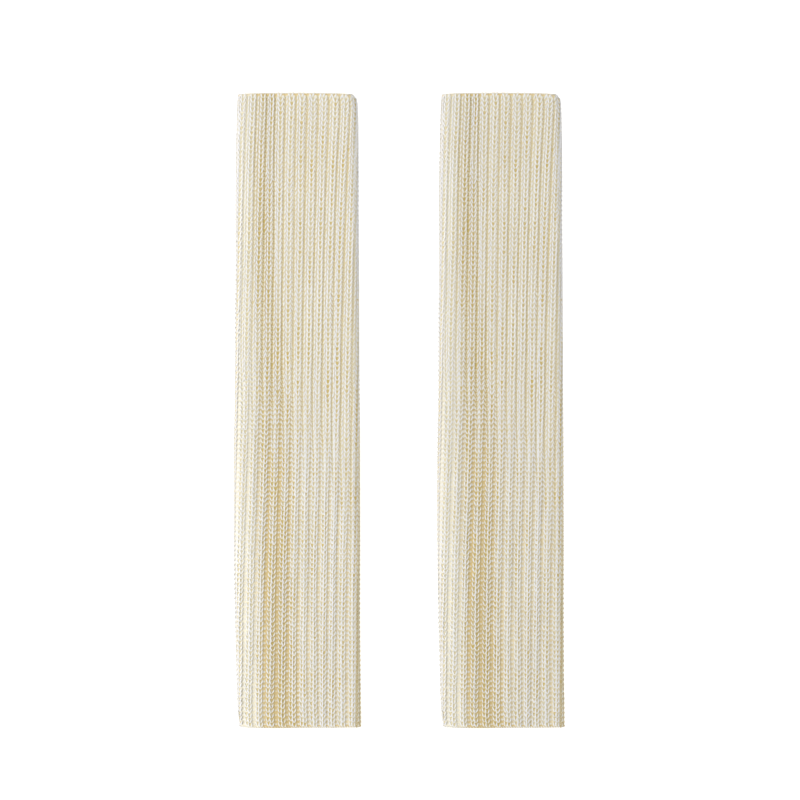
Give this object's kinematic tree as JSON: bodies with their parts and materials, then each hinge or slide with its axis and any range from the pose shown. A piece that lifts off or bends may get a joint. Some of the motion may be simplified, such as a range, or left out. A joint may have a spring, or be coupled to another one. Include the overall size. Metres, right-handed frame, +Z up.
{
  "type": "pair of leg warmers",
  "caption": "Pair of rib-knitted ivory leg warmers, open tubes with plain ends, laid flat side by side.",
  "frame": {"origin": "on the resting plane, midway between the two leg warmers and midway along them", "axes": "+X across the pair, +Y along the leg warmers towards their upper ends, +Z up, away from the surface they lie on"},
  "size_m": [0.2596, 0.5, 0.0125],
  "materials": {
    "knit_left": "matt ivory rib knit",
    "knit_right": "matt ivory rib knit"
  },
  "bodies": {
    "root": {"leg_warmer_left": "knit_left", "leg_warmer_right": "knit_right"}
  },
  "joints": []
}
